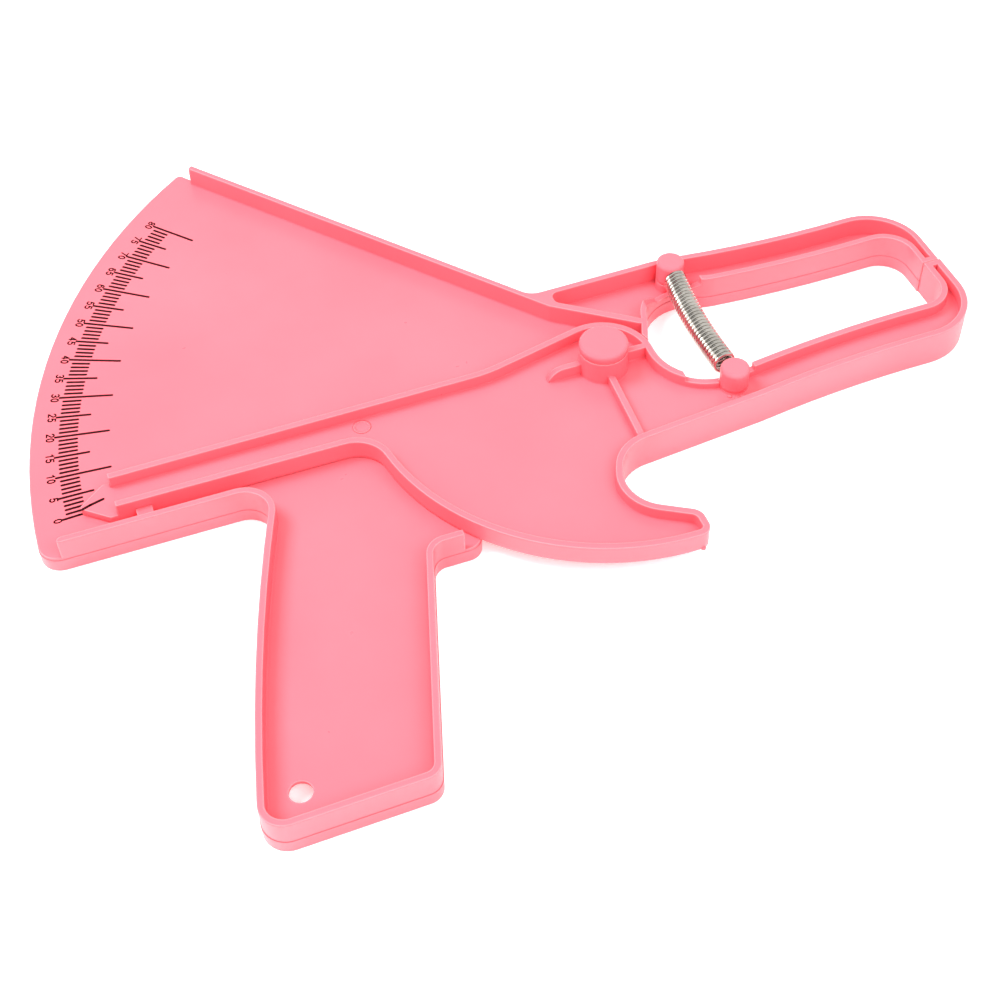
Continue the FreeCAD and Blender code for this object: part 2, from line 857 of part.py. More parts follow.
def build_arm():
    body = new_body("moving_arm")
    outline = arm_outline()
    pad(body, "web", [outline], arm_bottom, arm_web_top)
    pad(body, "rims", [outline, inset_path(outline, arm_wall)], arm_web_top, rim_top)
    wall_end = box_outline(
        cell("tip_x") - arm_wall,
        -cell("pointer_drop") - arm_wall,
        cell("pointer_wall_end_x"),
        cell("pointer_rise") + arm_wall,
    )
    pocket(body, "bare_tip", [wall_end], arm_web_top, rim_top)
    step = box_outline(
        cell("step_start_x"),
        cell("lower_post_y"),
        cell("step_end_x"),
        cell("jaw_up_y"),
    )
    pocket(body, "spring_step", [step], web_top + cell("step_top"), rim_top)
    skirt_end = upright(cell("skirt_inner_x"), 270)
    skirt_start = level(cell("skirt_start_y"), 0)
    skirt = band(moving_jaw_path(), arm_wall, skirt_end, skirt_start)
    pad(body, "jaw_skirt", [skirt], 0, arm_bottom)
    disc(body, "Pad", "boss", 0, 0, cell("boss_diameter"), arm_bottom, boss_top)
    add_ribs(body)
    post_x = cell("lower_post_x")
    post_y = cell("lower_post_y")
    pedestal = cell("spring_cap_diameter")
    notch = pedestal + cell("cap_notch") * 2
    disc(body, "Pocket", "cap_notch", post_x, post_y, notch, spring_cap_bottom, rim_top)
    disc(body, "Pad", "pedestal", post_x, post_y, pedestal, arm_bottom, spring_cap_bottom)
    disc(body, "Pad", "post", post_x, post_y, cell("post_diameter"), arm_bottom, post_top)
    bore = cell("pin_diameter") + cell("pin_running") * 2
    disc(body, "Pocket", "pivot_bore", 0, 0, bore, arm_bottom, boss_top)
    return body


# ---- pivot --------------------------------------------------------------------------

def cylinder(name, diameter, bottom, top, x=0, y=0):
    """An upright Part::Cylinder between two heights."""
    solid = doc.addObject("Part::Cylinder", name)
    solid.setExpression("Radius", (size(diameter) / 2).text)
    solid.setExpression("Height", (size(top) - bottom).text)
    solid.setExpression("Placement.Base.x", size(x).text)
    solid.setExpression("Placement.Base.y", size(y).text)
    solid.setExpression("Placement.Base.z", size(bottom).text)
    return solid


def combine(kind, name, base, tool):
    """A Part::Fuse or Part::Cut of two solids."""
    result = doc.addObject(f"Part::{kind}", name)
    result.Base = base
    result.Tool = tool
    return result


def build_pin():
    """The pivot pin, pressed into the frame from the back, with its head sunk in the hub."""
    bottom = cell("pin_recess")
    top = boss_top + cell("cap_height") - cell("cap_roof")
    shank = cylinder("pin_shank", cell("pin_diameter"), bottom, top)
    head = cylinder("pin_head", cell("pin_head_diameter"), bottom, bottom + cell("pin_head"))
    pin = combine("Fuse", "pivot_pin", shank, head)
    pin.Label = "pivot_pin"
    return pin


def rounded_top(name, solid, top, radius):
    """A Part::Fillet on the outer edge of a round solid's top."""
    doc.recompute()
    edges = []
    for number, edge in enumerate(solid.Shape.Edges, start=1):
        if edge.Closed and abs(edge.CenterOfMass.z - top.value) < 1e-6:
            edges.append((edge.Curve.Radius, number))
    fillet = doc.addObject("Part::Fillet", name)
    fillet.Base = solid
    fillet.Edges = [(max(edges)[1], radius.value, radius.value)]
    return fillet


def build_pivot_cap():
    """The cap on the pin's end, as wide as the arm's boss."""
    bottom = boss_top + cell("thrust_gap")
    top = boss_top + cell("cap_height")
    drum = cylinder("cap_drum", cell("boss_diameter"), bottom, top)
    drum = rounded_top("cap_drum_rounded", drum, top, cell("cap_edge"))
    hole = cylinder("cap_hole", cell("pin_diameter"), bottom, top - cell("cap_roof"))
    cap = combine("Cut", "pivot_cap", drum, hole)
    cap.Label = "pivot_cap"
    return cap


# ---- spring and its caps ------------------------------------------------------------

def spring_heading():
    """The direction from the upper post to the lower one, in degrees, and their distance."""
    run_x = cell("lower_post_x") - cell("upper_post_x")
    run_y = cell("lower_post_y") - cell("upper_post_y")
    heading = Size(
        math.degrees(math.atan2(run_y.value, run_x.value)),
        f"(atan2({run_y.text}; {run_x.text}) / 1deg)",
    )
    distance = Size(
        math.hypot(run_x.value, run_y.value),
        f"sqrt({run_x.text} * {run_x.text} + {run_y.text} * {run_y.text})",
    )
    return heading, distance


def loop_radius():
    """The middle radius of the spring's end loops round the posts."""
    return (cell("post_diameter") + cell("wire_diameter")) / 2 + cell("cap_room") / 2


def build_spring_cap(name, x, y, slot_start):
    """A cap over a post, hollow round the spring's loop and slotted where the wire leaves."""
    heading, _ = spring_heading()
    diameter = cell("spring_cap_diameter")
    drum = cylinder(f"{name}_drum", diameter, spring_cap_bottom, spring_cap_top, x, y)
    drum = rounded_top(f"{name}_rounded", drum, spring_cap_top, cell("spring_cap_edge"))
    hole = cylinder(f"{name}_hole", cell("post_diameter"), spring_cap_bottom, post_top, x, y)
    half_room = cell("wire_diameter") / 2 + cell("cap_room")
    low = spring_axis - half_room
    high = spring_axis + half_room
    hollow = cylinder(f"{name}_hollow", (loop_radius() + half_room) * 2, low, high, x, y)
    slot = doc.addObject("Part::Box", f"{name}_slot")
    slot.setExpression("Length", diameter.text)
    slot.setExpression("Width", (half_room * 2).text)
    slot.setExpression("Height", (half_room * 2).text)
    side = loop_radius() - half_room
    base_x = x + slot_start * cos(heading) - side * sin(heading)
    base_y = y + slot_start * sin(heading) + side * cos(heading)
    slot.setExpression("Placement.Base.x", base_x.text)
    slot.setExpression("Placement.Base.y", base_y.text)
    slot.setExpression("Placement.Base.z", low.text)
    slot.setExpression("Placement.Rotation.Angle", f"{heading.text} * 1deg")
    inside = combine("Fuse", f"{name}_inside", hollow, slot)
    bored = combine("Cut", f"{name}_bored", drum, hole)
    cap = combine("Cut", name, bored, inside)
    cap.Label = name
    return cap


def build_coil(distance):
    """The close-wound turns, along the body's own X axis from the upper post."""
    coil = new_body("coil")
    wire = cell("wire_diameter")
    pitch = wire + cell("coil_gap")
    room = distance - cell("spring_cap_diameter") - cell("cap_room") * 2 - wire
    length = pitch * int(room.value / pitch.value)
    start = (distance - length) / 2
    sketch = new_sketch(coil, "wire_section", 0)
    draw_hole(sketch, start, (cell("spring_diameter") - wire) / 2, wire)
    helix = coil.newObject("PartDesign::AdditiveHelix", "turns")
    helix.Profile = sketch
    helix.ReferenceAxis = (sketch, ["H_Axis"])
    helix.Mode = "pitch-height-angle"
    helix.setExpression("Pitch", pitch.text)
    helix.setExpression("Height", length.text)
    sketch.Visibility = False
    coil.setExpression("Placement.Base.y", (-cell("coil_shift")).text)
    return coil, start


def build_loop(name, x, lead_x, length, first_angle):
    """An end loop of the spring: three quarters of a ring and the lead to the coil."""
    wire = cell("wire_diameter")
    ring = doc.addObject("Part::Torus", f"{name}_ring")
    ring.setExpression("Radius1", loop_radius().text)
    ring.setExpression("Radius2", (wire / 2).text)
    ring.setExpression("Placement.Base.x", size(x).text)
    ring.Angle3 = 270
    ring.Placement.Rotation = FreeCAD.Rotation(FreeCAD.Vector(0, 0, 1), first_angle)
    lead = doc.addObject("Part::Cylinder", f"{name}_lead")
    lead.setExpression("Radius", (wire / 2).text)
    lead.setExpression("Height", length.text)
    lead.setExpression("Placement.Base.x", size(lead_x).text)
    lead.setExpression("Placement.Base.y", loop_radius().text)
    lead.Placement.Rotation = FreeCAD.Rotation(FreeCAD.Vector(0, 1, 0), 90)
    return [ring, lead]


def build_spring():
    """The close-wound tension spring with a loop round each post."""
    heading, distance = spring_heading()
    coil, start = build_coil(distance)
    upper_loop = build_loop("upper_loop", 0, 0, start, 90)
    lower_loop = build_loop("lower_loop", distance, distance - start, start, 180)
    spring = doc.addObject("Part::MultiFuse", "tension_spring")
    spring.Label = "tension_spring"
    spring.Shapes = [coil] + upper_loop + lower_loop
    spring.setExpression("Placement.Base.x", cell("upper_post_x").text)
    spring.setExpression("Placement.Base.y", cell("upper_post_y").text)
    spring.setExpression("Placement.Base.z", spring_axis.text)
    spring.setExpression("Placement.Rotation.Angle", f"{heading.text} * 1deg")
    return spring


# ---- build, check and export --------------------------------------------------------

SUBPARTS = [build_frame(), build_arm(), build_pin(), build_pivot_cap(), build_spring()]

upper_post = cell("upper_post_x"), cell("upper_post_y")
lower_post = cell("lower_post_x"), cell("lower_post_y")
slot_length = cell("spring_cap_diameter")
SUBPARTS.append(build_spring_cap("upper_spring_cap", *upper_post, size(0)))
SUBPARTS.append(build_spring_cap("lower_spring_cap", *lower_post, -slot_length))
doc.recompute()

for item in doc.Objects:
    if "Invalid" in item.State or "Error" in item.State:
        raise RuntimeError(f"{item.Label} failed: {item.State}")
for subpart in SUBPARTS:
    shape = subpart.Shape
    if shape.isNull() or not shape.isValid():
        raise RuntimeError(f"{subpart.Label} has no valid shape")

os.makedirs("parts", exist_ok=True)
for subpart in SUBPARTS:
    subpart.Shape.exportStep(os.path.join("parts", f"{subpart.Label}.step"))
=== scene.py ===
import math

import bmesh
import bpy
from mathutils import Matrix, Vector


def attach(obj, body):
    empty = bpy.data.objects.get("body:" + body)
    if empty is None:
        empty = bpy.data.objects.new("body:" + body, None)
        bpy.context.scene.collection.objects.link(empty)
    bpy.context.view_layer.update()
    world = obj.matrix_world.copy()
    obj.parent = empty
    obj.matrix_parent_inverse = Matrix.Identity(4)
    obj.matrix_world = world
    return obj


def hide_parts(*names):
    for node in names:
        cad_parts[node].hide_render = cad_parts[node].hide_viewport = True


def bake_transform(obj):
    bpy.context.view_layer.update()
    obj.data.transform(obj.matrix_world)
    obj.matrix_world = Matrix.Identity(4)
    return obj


# Sizes are in millimetres, unless a comment says metres, and angles in degrees. mm() turns
# millimetres into metres.
MM = 0.001

CAMERA_PLACE = (-131.675, -300.543, 322.903)
CAMERA_TURN = (41.4491, 1.245, -19.9016)
CAMERA_LENS = 59.11
SENSOR = 36.0

# faces of the two mouldings, counted from the resting plane
SCALE_FACE = 4.7
ARM_FACE = 7.1

# salmon-pink plastic: its colours, a painted highlight for its outer edges, a painted shade for
# its inner corners, the radius its edges look rounded by and how far from an inner corner the
# painted shade reaches
PINK = (0.925, 0.166, 0.210)
PINK_DEEP = (0.915, 0.156, 0.199)
PINK_PALE = (0.935, 0.177, 0.222)
# painted highlight along the outer edges
PINK_EDGE_HIGHLIGHT = (1.0, 0.34, 0.39)
# painted shade in the inner corners
PINK_CORNER_SHADE = (0.84, 0.085, 0.125)
EDGE_ROUND = 0.9
CAP_ROUND = 1.6
CORNER_SHADE_REACH = 1.6

# printed scale: the lines lean a little, because their dial was drawn about another centre
SCALE_START = 0.02
SCALE_ANGLE = 46.45
SCALE_READINGS = 80
TICK_OUTER = 150.0
TICK_TEN = 135.7
TICK_FIVE = 141.0
TICK_MINOR = (148.8, 144.2)
TICK_WIDTH = 0.74
TICK_LEAN = 0.0594
TICK_UPRIGHT = 42.5
NUMERAL_BASE = 152.5
NUMERAL_HEIGHT = 2.3
NUMERAL_ADVANCE = 1.72
NUMERAL_STROKE = 0.42
DIGIT_MIDDLE = 0.30
PRINT_RELIEF = 0.03

# index line on the pointer's tip
INDEX_LINE = ((-144.7, -0.5), (-142.4, 0.3), (-138.9, 1.2))
INDEX_WIDTH = 0.8

# moulding marks on the arm, each with its (radius, height) profile
RING_PLACE = (-68.8, 1.9, ARM_FACE)
RING = ((1.5, -0.1), (1.75, 0.0), (1.95, 0.10), (2.15, 0.13), (2.35, 0.10), (2.8, -0.1))
BUMP_PLACES = {"left": (27.6, -23.0), "middle": (29.1, -24.3), "right": (30.9, -24.1)}
BUMP = ((0.72, -0.1), (0.68, 0.10), (0.54, 0.28), (0.30, 0.38), (0.08, 0.40))
STUB_PLACE = (-0.3, -67.5, 4.45)
STUB = ((0.40, 0.0), (0.62, 0.25), (0.62, 0.95), (0.40, 1.2), (0.12, 1.3))
MARK_SIDES = 40

# spring, with its axis at the height of each end
UPPER_POST = (31.8, 26.9)
LOWER_POST = (30.4, -19.4)
UPPER_AXIS = 10.2
LOWER_AXIS = 9.5
SPRING_OUTER = 6.9
WIRE = 1.17
TURNS = 29
PITCH = 1.255
SPRING_START = 23.3
BOW = 1.15
POST = 3.0
HOOK_ROOM = 0.1
HOOK_DROP = 1.6
HOOK_STEPS = 18
HOOK_STEP = 15
COIL_STEPS = 28
WIRE_SIDES = 12

# table top and studio, in metres
TABLE_HALF = 2.5
TABLE_DROP = 0.00005
NEAREST_SEEN = 0.01

# dark strip in the white tent: its heading, how wide and how low it fades, and the two lights
GAP_HEADING = -35.0
GAP_WIDTH = (0.25, 0.32)
GAP_DEPTH = (0.10, 0.25)
WORLD_LIGHT = 0.88
WORLD_DARK = 0.03


def mm(*values):
    """Millimetres to metres, for one number or several."""
    scaled = [value * MM for value in values]
    return scaled[0] if len(scaled) == 1 else Vector(scaled)


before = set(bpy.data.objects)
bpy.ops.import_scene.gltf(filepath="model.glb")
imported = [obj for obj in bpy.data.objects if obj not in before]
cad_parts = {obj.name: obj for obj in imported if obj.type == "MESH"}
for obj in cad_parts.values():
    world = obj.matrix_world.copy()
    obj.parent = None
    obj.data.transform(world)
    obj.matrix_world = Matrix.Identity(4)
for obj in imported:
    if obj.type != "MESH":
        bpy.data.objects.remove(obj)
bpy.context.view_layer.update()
scene = bpy.context.scene


# ---- materials -------------------------------------------------------------------------

class Nodes:
    """The node tree of a material or world, with short calls that add and join its nodes."""

    def __init__(self, owner, shader="Principled BSDF"):
        owner.use_nodes = True
        self.owner = owner
        self.tree = owner.node_tree
        self.shader = self.tree.nodes[shader]
        self.coordinates = self.tree.nodes.new("ShaderNodeTexCoord").outputs

    def add(self, kind, inputs=(), **settings):
        node = self.tree.nodes.new(f"ShaderNode{kind}")
        for key, value in settings.items():
            setattr(node, key, value)
        for key, value in dict(inputs).items():
            if isinstance(value, bpy.types.NodeSocket):
                self.tree.links.new(value, node.inputs[key])
            else:
                node.inputs[key].default_value = value
        return node

    def noise(self, scale, detail=2.0, roughness=0.5, stretch=None):
        """Noise over the object's own coordinates, from 0 to 1."""
        place = self.coordinates["Object"]
        if stretch:
            mapping = self.add("Mapping", {"Vector": place, "Scale": stretch})
            place = mapping.outputs["Vector"]
        settings = {"Vector": place, "Scale": scale, "Detail": detail, "Roughness": roughness}
        return self.add("TexNoise", settings).outputs["Fac"]

    def ramp(self, factor, stops):
        """A colour ramp through (position, colour) stops."""
        node = self.add("ValToRGB", {"Fac": factor})
        elements = node.color_ramp.elements
        while len(elements) < len(stops):
            elements.new(0.5)
        for element, (position, colour) in zip(elements, stops):
            element.position = position
            element.color = (*colour, 1.0)
        return node.outputs["Color"]

    def span(self, value, low, high, to_low, to_high, **settings):
        """A value mapped from one range to another and held inside it."""
        ends = {
            "Value": value,
            "From Min": low,
            "From Max": high,
            "To Min": to_low,
            "To Max": to_high,
        }
        return self.add("MapRange", ends, **settings).outputs["Result"]

    def dot(self, first, second):
        """How far two directions agree, from -1 to 1."""
        node = self.add("VectorMath", {0: first, 1: second}, operation="DOT_PRODUCT")
        return node.outputs["Value"]

    def calculate(self, operation, first, second=0.0):
        node = self.add("Math", operation=operation)
        for socket, value in zip(node.inputs, (first, second)):
            if isinstance(value, bpy.types.NodeSocket):
                self.tree.links.new(value, socket)
            else:
                socket.default_value = value
        return node.outputs["Value"]

    def bump(self, height, strength, distance, settings=()):
        """Relief on the surface, with its distance in mm."""
        inputs = {"Height": height, "Strength": strength, "Distance": mm(distance)}
        inputs.update(settings)
        self.link("Normal", self.add("Bump", inputs).outputs["Normal"])

    def link(self, name, socket):
        self.tree.links.new(socket, self.shader.inputs[name])

    def set(self, name, value):
        self.shader.inputs[name].default_value = value


def edges_and_corners(nodes, colour, rounded):
    """The colour with a painted highlight on the outer edges and painted shade in the inner
    corners.
    """
    surface = nodes.add("NewGeometry").outputs["Normal"]
    on_edge = nodes.span(nodes.dot(rounded, surface), 0.97, 0.78, 0.0, 1.0)
    open_sky = nodes.add(
        "AmbientOcclusion", {"Distance": mm(CORNER_SHADE_REACH)}, samples=6, only_local=True
    ).outputs["AO"]
    # painted highlight: paler where the rounded edge turns, kept off the inner corners
    highlight_share = nodes.calculate("MULTIPLY", on_edge, nodes.span(open_sky, 0.80, 0.97, 0.0, 1.0))
    # painted shade: deeper colour where the inner corners are occluded
    shade_share = nodes.span(open_sky, 0.85, 0.50, 0.0, 0.55)
    for share, tint in ((highlight_share, PINK_EDGE_HIGHLIGHT), (shade_share, PINK_CORNER_SHADE)):
        mix = nodes.add("MixRGB", {"Fac": share, "Color1": colour, "Color2": (*tint, 1.0)})
        colour = mix.outputs["Color"]
    return colour


def pink_plastic(name, edge):
    """Moulded salmon-pink plastic: flow clouds, draw marks, a fine grain, rounded edges with a
    painted highlight and painted shade in inner corners.
    """
    nodes = Nodes(bpy.data.materials.new(name))
    clouds = nodes.noise(22.0, 3.0, 0.55)
    colour = nodes.ramp(clouds, [(0.30, PINK_DEEP), (0.52, PINK), (0.74, PINK_PALE)])
    nodes.link("Roughness", nodes.span(nodes.noise(140.0, 4.0), 0.1, 0.9, 0.25, 0.37))
    grain = nodes.noise(2600.0, 2.0, 0.6)
    waves = nodes.noise(60.0, 2.0)
    draft = nodes.noise(420.0, 2.0, 0.5, (1.0, 1.0, 0.06))
    height = nodes.calculate("MULTIPLY", waves, 1.1)
    for marks, share in ((grain, 0.10), (draft, 0.14)):
        relief = nodes.calculate("MULTIPLY", marks, share)
        height = nodes.calculate("ADD", height, relief)
    rounded = nodes.add("Bevel", {"Radius": mm(edge)}, samples=8).outputs["Normal"]
    # base colour with a painted highlight on the edges and painted shade in the inner corners
    nodes.link("Base Color", edges_and_corners(nodes, colour, rounded))
    nodes.bump(height, 0.5, 0.05, {"Normal": rounded})
    nodes.set("Subsurface Weight", 0.03)
    nodes.set("Subsurface Scale", 0.002)
    nodes.set("Subsurface Radius", (1.0, 0.30, 0.28))
    return nodes.owner


def spring_steel():
    """Drawn wire: bright, with fine draw marks along it and a little tarnish."""
    nodes = Nodes(bpy.data.materials.new("drawn_wire"))
    tarnish = nodes.noise(260.0, 3.0, 0.6)
    steel = [(0.35, (0.50, 0.48, 0.445)), (0.60, (0.68, 0.655, 0.61))]
    nodes.link("Base Color", nodes.ramp(tarnish, steel))
    marks = nodes.noise(1500.0, 3.0, 0.6)
    nodes.link("Roughness", nodes.span(marks, 0.3, 0.7, 0.05, 0.12))
    nodes.bump(marks, 0.12, 0.01)
    nodes.set("Metallic", 1.0)
    return nodes.owner


def printing_ink():
    """Pad-printed dark ink, slightly uneven in cover."""
    nodes = Nodes(bpy.data.materials.new("scale_ink"))
    cover = nodes.noise(1800.0, 3.0, 0.7)
    ink = [(0.35, (0.014, 0.002, 0.003)), (0.75, (0.040, 0.007, 0.009))]
    nodes.link("Base Color", nodes.ramp(cover, ink))
    nodes.link("Roughness", nodes.span(cover, 0.3, 0.7, 0.52, 0.68))
    nodes.set("Specular IOR Level", 0.15)
    return nodes.owner


def pale_floor():
    """A matt white table top, lit a little from below as a product table is."""
    nodes = Nodes(bpy.data.materials.new("white_table"))
    white = [(0.3, (0.90, 0.90, 0.90)), (0.7, (0.94, 0.94, 0.94))]
    nodes.link("Base Color", nodes.ramp(nodes.noise(4.0), white))
    nodes.set("Roughness", 0.8)
    nodes.set("Emission Color", (1.0, 1.0, 1.0, 1.0))
    nodes.set("Emission Strength", 0.35)
    return nodes.owner


def dress(piece, material):
    piece.data.materials.clear()
    piece.data.materials.append(material)


FRAME_PLASTIC = pink_plastic("pink_abs_frame", EDGE_ROUND)
ARM_PLASTIC = pink_plastic("pink_abs_arm", EDGE_ROUND)
CAP_PLASTIC = pink_plastic("pink_abs_caps", CAP_ROUND)
STEEL = spring_steel()
INK = printing_ink()


# ---- the CAD nodes ---------------------------------------------------------------------

for name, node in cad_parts.items():
    if name == "frame":
        dress(node, FRAME_PLASTIC)
    elif name == "moving_arm":
        dress(node, ARM_PLASTIC)
    elif name != "tension_spring":
        dress(node, CAP_PLASTIC)


# ---- pieces made here ------------------------------------------------------------------

def mesh_piece(name, grid, body, material):
    """A bmesh made into a piece that rides on a CAD body, or on none yet."""
    data = bpy.data.meshes.new(name)
    bmesh.ops.recalc_face_normals(grid, faces=grid.faces)
    grid.to_mesh(data)
    grid.free()
    piece = bpy.data.objects.new(name, data)
    scene.collection.objects.link(piece)
    data.materials.append(material)
    if body:
        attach(piece, body)
    return piece


def scale_turn(reading):
    """The angle of a reading's line, in radians, from the -x side towards +y."""
    return math.radians(SCALE_START + SCALE_ANGLE * reading / SCALE_READINGS)


def add_stroke(grid, points, width):
    """A printed line with round ends through the points, from the face to the ink's height."""
    for begin, end in zip(points, points[1:]):
        along = (end - begin).normalized()
        across = Vector((-along.y, along.x, 0.0))
        outline = []
        for centre, heading in ((end, 1.0), (begin, -1.0)):
            for step in range(7):
                turn = math.pi * (step / 6 - 0.5)
                reach = along * math.cos(turn) * heading + across * math.sin(turn) * heading
                outline.append(centre + reach * mm(width) / 2)
        face = grid.faces.new([grid.verts.new(point) for point in outline])
        lower = bmesh.ops.extrude_face_region(grid, geom=[face])
        for vertex in lower["geom"]:
            if isinstance(vertex, bmesh.types.BMVert):
                vertex.co.z -= mm(PRINT_RELIEF)


def build_scale():
    """The scale's lines: long at the tens, middling at the fives, short between."""
    grid = bmesh.new()
    for reading in range(SCALE_READINGS + 1):
        outer, inner = TICK_MINOR
        if reading % 10 == 0:
            outer, inner = TICK_OUTER, TICK_TEN
        elif reading % 5 == 0:
            outer, inner = TICK_OUTER, TICK_FIVE
        turn = scale_turn(reading)
        lean = math.tan(math.radians(TICK_LEAN * (reading - TICK_UPRIGHT)))
        line = []
        for radius in (outer, inner):
            aside = (radius - TICK_OUTER) * lean
            x = -radius * math.cos(turn) + aside * math.sin(turn)
            y = radius * math.sin(turn) + aside * math.cos(turn)
            line.append(mm(x, y, SCALE_FACE + PRINT_RELIEF))
        add_stroke(grid, line, TICK_WIDTH)
    mesh_piece("scale_ticks", grid, "frame_body", INK)


def arc(x, y, across, up, begin=0.0, end=360.0):
    """Points of an upright oval's arc, as shares of a digit's height."""
    steps = max(4, round(abs(end - begin) / 20))
    points = []
    for step in range(steps + 1):
        turn = math.radians(begin + (end - begin) * step / steps)
        points.append((x + across * math.cos(turn), y + up * math.sin(turn)))
    return points


# each digit's pen strokes, as shares of its height, from the line it stands on
DIGITS = {
    "0": [arc(0.30, 0.50, 0.235, 0.435)],
    "1": [[(0.12, 0.74), (0.30, 0.80), (0.36, 0.935), (0.36, 0.065)]],
    "2": [arc(0.30, 0.69, 0.235, 0.245, 170, -35) + [(0.08, 0.065), (0.54, 0.065)]],
    "3": [
        arc(0.29, 0.71, 0.21, 0.225, 150, -90),
        arc(0.29, 0.28, 0.245, 0.215, 90, -150),
    ],
    "4": [[(0.41, 0.065), (0.41, 0.935), (0.07, 0.30), (0.56, 0.30)]],
    "5": [
        [(0.51, 0.935), (0.16, 0.935), (0.11, 0.50)],
        arc(0.29, 0.34, 0.245, 0.275, 140, -150),
    ],
    "6": [arc(0.31, 0.70, 0.20, 0.235, 30, 180) + [(0.07, 0.40)], arc(0.305, 0.335, 0.235, 0.27)],
    "7": [[(0.06, 0.935), (0.54, 0.935), (0.22, 0.065)]],
    "8": [arc(0.30, 0.71, 0.19, 0.225), arc(0.30, 0.28, 0.235, 0.215)],
}


def build_numeral(reading):
    """A reading's number outside its line: tops to the pivot, read towards lower readings."""
    turn = scale_turn(reading)
    across = Vector((-math.sin(turn), -math.cos(turn), 0.0))
    up = Vector((math.cos(turn), -math.sin(turn), 0.0))
    foot = -up * NUMERAL_BASE + Vector((0.0, 0.0, SCALE_FACE + PRINT_RELIEF))
    grid = bmesh.new()
    text = str(reading)
    for place, digit in enumerate(text):
        middle = (place - (len(text) - 1) / 2) * NUMERAL_ADVANCE
        for stroke in DIGITS[digit]:
            line = []
            for x, y in stroke:
                aside = middle + (x - DIGIT_MIDDLE) * NUMERAL_HEIGHT
                point = foot + across * aside + up * y * NUMERAL_HEIGHT
                line.append(mm(*point))
            add_stroke(grid, line, NUMERAL_STROKE)
    mesh_piece(f"numeral_{reading}", grid, "frame_body", INK)


def build_index_line():
    """The dark line on the pointer's tip that is read against the scale."""
    grid = bmesh.new()
    line = [mm(x, y, ARM_FACE + PRINT_RELIEF) for x, y in INDEX_LINE]
    add_stroke(grid, line, INDEX_WIDTH)
    mesh_piece("index_line", grid, "trigger_arm", INK)


def skin(grid, rings):
    """Faces between rings of corners, and one face to close each end."""
    for first, second in zip(rings, rings[1:]):
        for side in range(len(first)):
            after = (side + 1) % len(first)
            grid.faces.new((first[side], first[after], second[after], second[side]))
    grid.faces.new(rings[0])
    grid.faces.new(rings[-1])


def moulding_mark(name, centre, profile):
    """A small turned form on the arm, about an upright axis."""
    grid = bmesh.new()
    rings = []
    for radius, height in profile:
        ring = []
        for side in range(MARK_SIDES):
            turn = 2 * math.pi * side / MARK_SIDES
            x = centre[0] + radius * math.cos(turn)
            y = centre[1] + radius * math.sin(turn)
            ring.append(grid.verts.new(mm(x, y, centre[2] + height)))
        rings.append(ring)
    skin(grid, rings)
    piece = mesh_piece(name, grid, "trigger_arm", ARM_PLASTIC)
    for face in piece.data.polygons:
        face.use_smooth = len(face.vertices) == 4


def build_moulding_marks():
    """What the mould leaves on the arm: a witness ring, bumps at a boss and a gate's stub."""
    moulding_mark("ejector_ring", RING_PLACE, RING)
    for side, place in BUMP_PLACES.items():
        moulding_mark(f"boss_bump_{side}", (*place, ARM_FACE), BUMP)
    moulding_mark("gate_stub", STUB_PLACE, STUB)


def spring_line(distance):
    """A point of the bowed spring axis, from its upper end downwards, in mm."""
    y = SPRING_START - distance
    share = (UPPER_POST[1] - y) / (UPPER_POST[1] - LOWER_POST[1])
    x = UPPER_POST[0] + (LOWER_POST[0] - UPPER_POST[0]) * share
    x -= BOW * math.sin(math.pi * min(max(distance / (TURNS * PITCH), 0.0), 1.0))
    return Vector((x, y, UPPER_AXIS + (LOWER_AXIS - UPPER_AXIS) * share))


def spring_path():
    """The wire's middle line: upper hook, close-wound turns and lower hook, in mm."""
    points = []
    hook = (POST + WIRE) / 2 + HOOK_ROOM
    coil = (SPRING_OUTER - WIRE) / 2
    upper = Vector((*UPPER_POST, UPPER_AXIS - HOOK_DROP))
    lower = Vector((*LOWER_POST, LOWER_AXIS - HOOK_DROP))
    for step in range(HOOK_STEPS + 1):
        turn = math.radians(step * HOOK_STEP)
        points.append(upper + hook * Vector((math.cos(turn), math.sin(turn), 0)))
    for step in range(TURNS * COIL_STEPS + 1):
        centre = spring_line(step / COIL_STEPS * PITCH)
        turn = 1.5 * math.pi + step / COIL_STEPS * 2 * math.pi
        points.append(centre + coil * Vector((math.cos(turn), 0, math.sin(turn))))
    for step in range(HOOK_STEPS + 1):
        turn = math.radians(90 - step * HOOK_STEP)
        points.append(lower + hook * Vector((math.cos(turn), math.sin(turn), 0)))
    return points


def build_spring():
    """The wound wire along its path, with rings that don't twist."""
    grid = bmesh.new()
    rings = []
    points = spring_path()
    side = Vector((0, 0, 1))
    for index, point in enumerate(points):
        ahead = points[min(index + 1, len(points) - 1)] - points[max(index - 1, 0)]
        ahead.normalize()
        side = (side - ahead * side.dot(ahead)).normalized()
        other = ahead.cross(side)
        ring = []
        for corner in range(WIRE_SIDES):
            turn = 2 * math.pi * corner / WIRE_SIDES
            reach = (side * math.cos(turn) + other * math.sin(turn)) * (WIRE / 2)
            ring.append(grid.verts.new((point + reach) * MM))
        rings.append(ring)
    skin(grid, rings)
    piece = mesh_piece("spring_wire", grid, None, STEEL)
    for face in piece.data.polygons:
        face.use_smooth = True
    return piece


build_scale()
for reading in range(0, SCALE_READINGS + 1, 5):
    build_numeral(reading)
build_index_line()
build_moulding_marks()

spring = build_spring()
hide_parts("tension_spring")
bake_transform(spring)


# ---- floor, light and camera -----------------------------------------------------------

floor_grid = bmesh.new()
bmesh.ops.create_grid(floor_grid, x_segments=8, y_segments=8, size=TABLE_HALF)
floor = mesh_piece("table_top", floor_grid, None, pale_floor())
floor.location.z = -TABLE_DROP


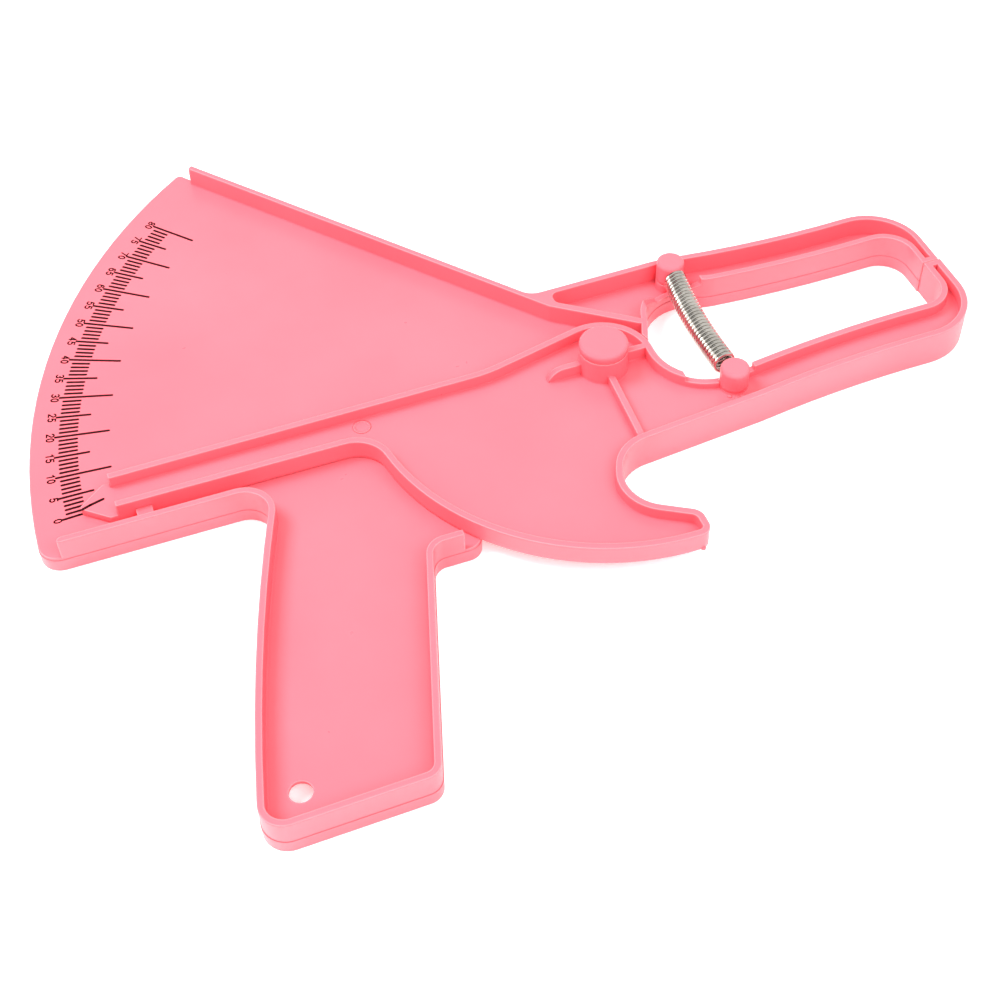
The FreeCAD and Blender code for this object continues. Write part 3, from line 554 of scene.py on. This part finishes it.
def studio_world():
    """A white tent all round, open on the dark room in one upright strip at the back."""
    nodes = Nodes(bpy.data.worlds.new("studio"), "Background")
    heading = nodes.coordinates["Generated"]
    turn = math.radians(GAP_HEADING)
    across = nodes.dot(heading, (math.cos(turn), -math.sin(turn), 0.0))
    along = nodes.dot(heading, (math.sin(turn), math.cos(turn), 0.0))
    aside = nodes.calculate("ABSOLUTE", across)
    inside = nodes.span(aside, *GAP_WIDTH, 1.0, 0.0, interpolation_type="SMOOTHSTEP")
    behind = nodes.span(along, *GAP_DEPTH, 0.0, 1.0, interpolation_type="SMOOTHSTEP")
    gap = nodes.calculate("MULTIPLY", inside, behind)
    nodes.link("Strength", nodes.span(gap, 0.0, 1.0, WORLD_LIGHT, WORLD_DARK))
    nodes.set("Color", (1.0, 0.985, 0.965, 1.0))
    return nodes.owner


scene.world = studio_world()


def soft_box(name, place, target, size, power, matt=True, gloss=True, only=None):
    """An area light that faces a point: for matt surfaces, gloss or both, or one piece only."""
    light = bpy.data.lights.new(name, "AREA")
    light.shape = "RECTANGLE"
    light.size, light.size_y = size
    light.energy = power
    piece = bpy.data.objects.new(name, light)
    scene.collection.objects.link(piece)
    piece.location = place
    piece.rotation_euler = (Vector(target) - Vector(place)).to_track_quat("-Z", "Y").to_euler()
    piece.visible_glossy = gloss
    piece.visible_diffuse = matt
    if only:
        lit = bpy.data.collections.new(f"{name}_shines_on")
        lit.objects.link(only)
        piece.light_linking.receiver_collection = lit


soft_box("key", (-0.65, 0.35, 1.05), (-0.03, 0, 0), (0.6, 0.6), 17.0, gloss=False)
soft_box("front", (0.20, -0.75, 0.95), (-0.03, 0, 0), (1.0, 0.6), 8.5, gloss=False)
soft_box("side_card", (-1.02, 0.12, 0.48), (0, 0, 0), (1.1, 0.5), 8.0, matt=False, only=spring)

lens = bpy.data.cameras.new("camera")
lens.lens = CAMERA_LENS
lens.sensor_width = SENSOR
lens.clip_start = NEAREST_SEEN
camera = bpy.data.objects.new("camera", lens)
scene.collection.objects.link(camera)
camera.location = mm(*CAMERA_PLACE)
camera.rotation_euler = [math.radians(angle) for angle in CAMERA_TURN]
scene.camera = camera
scene.view_settings.view_transform = "Standard"
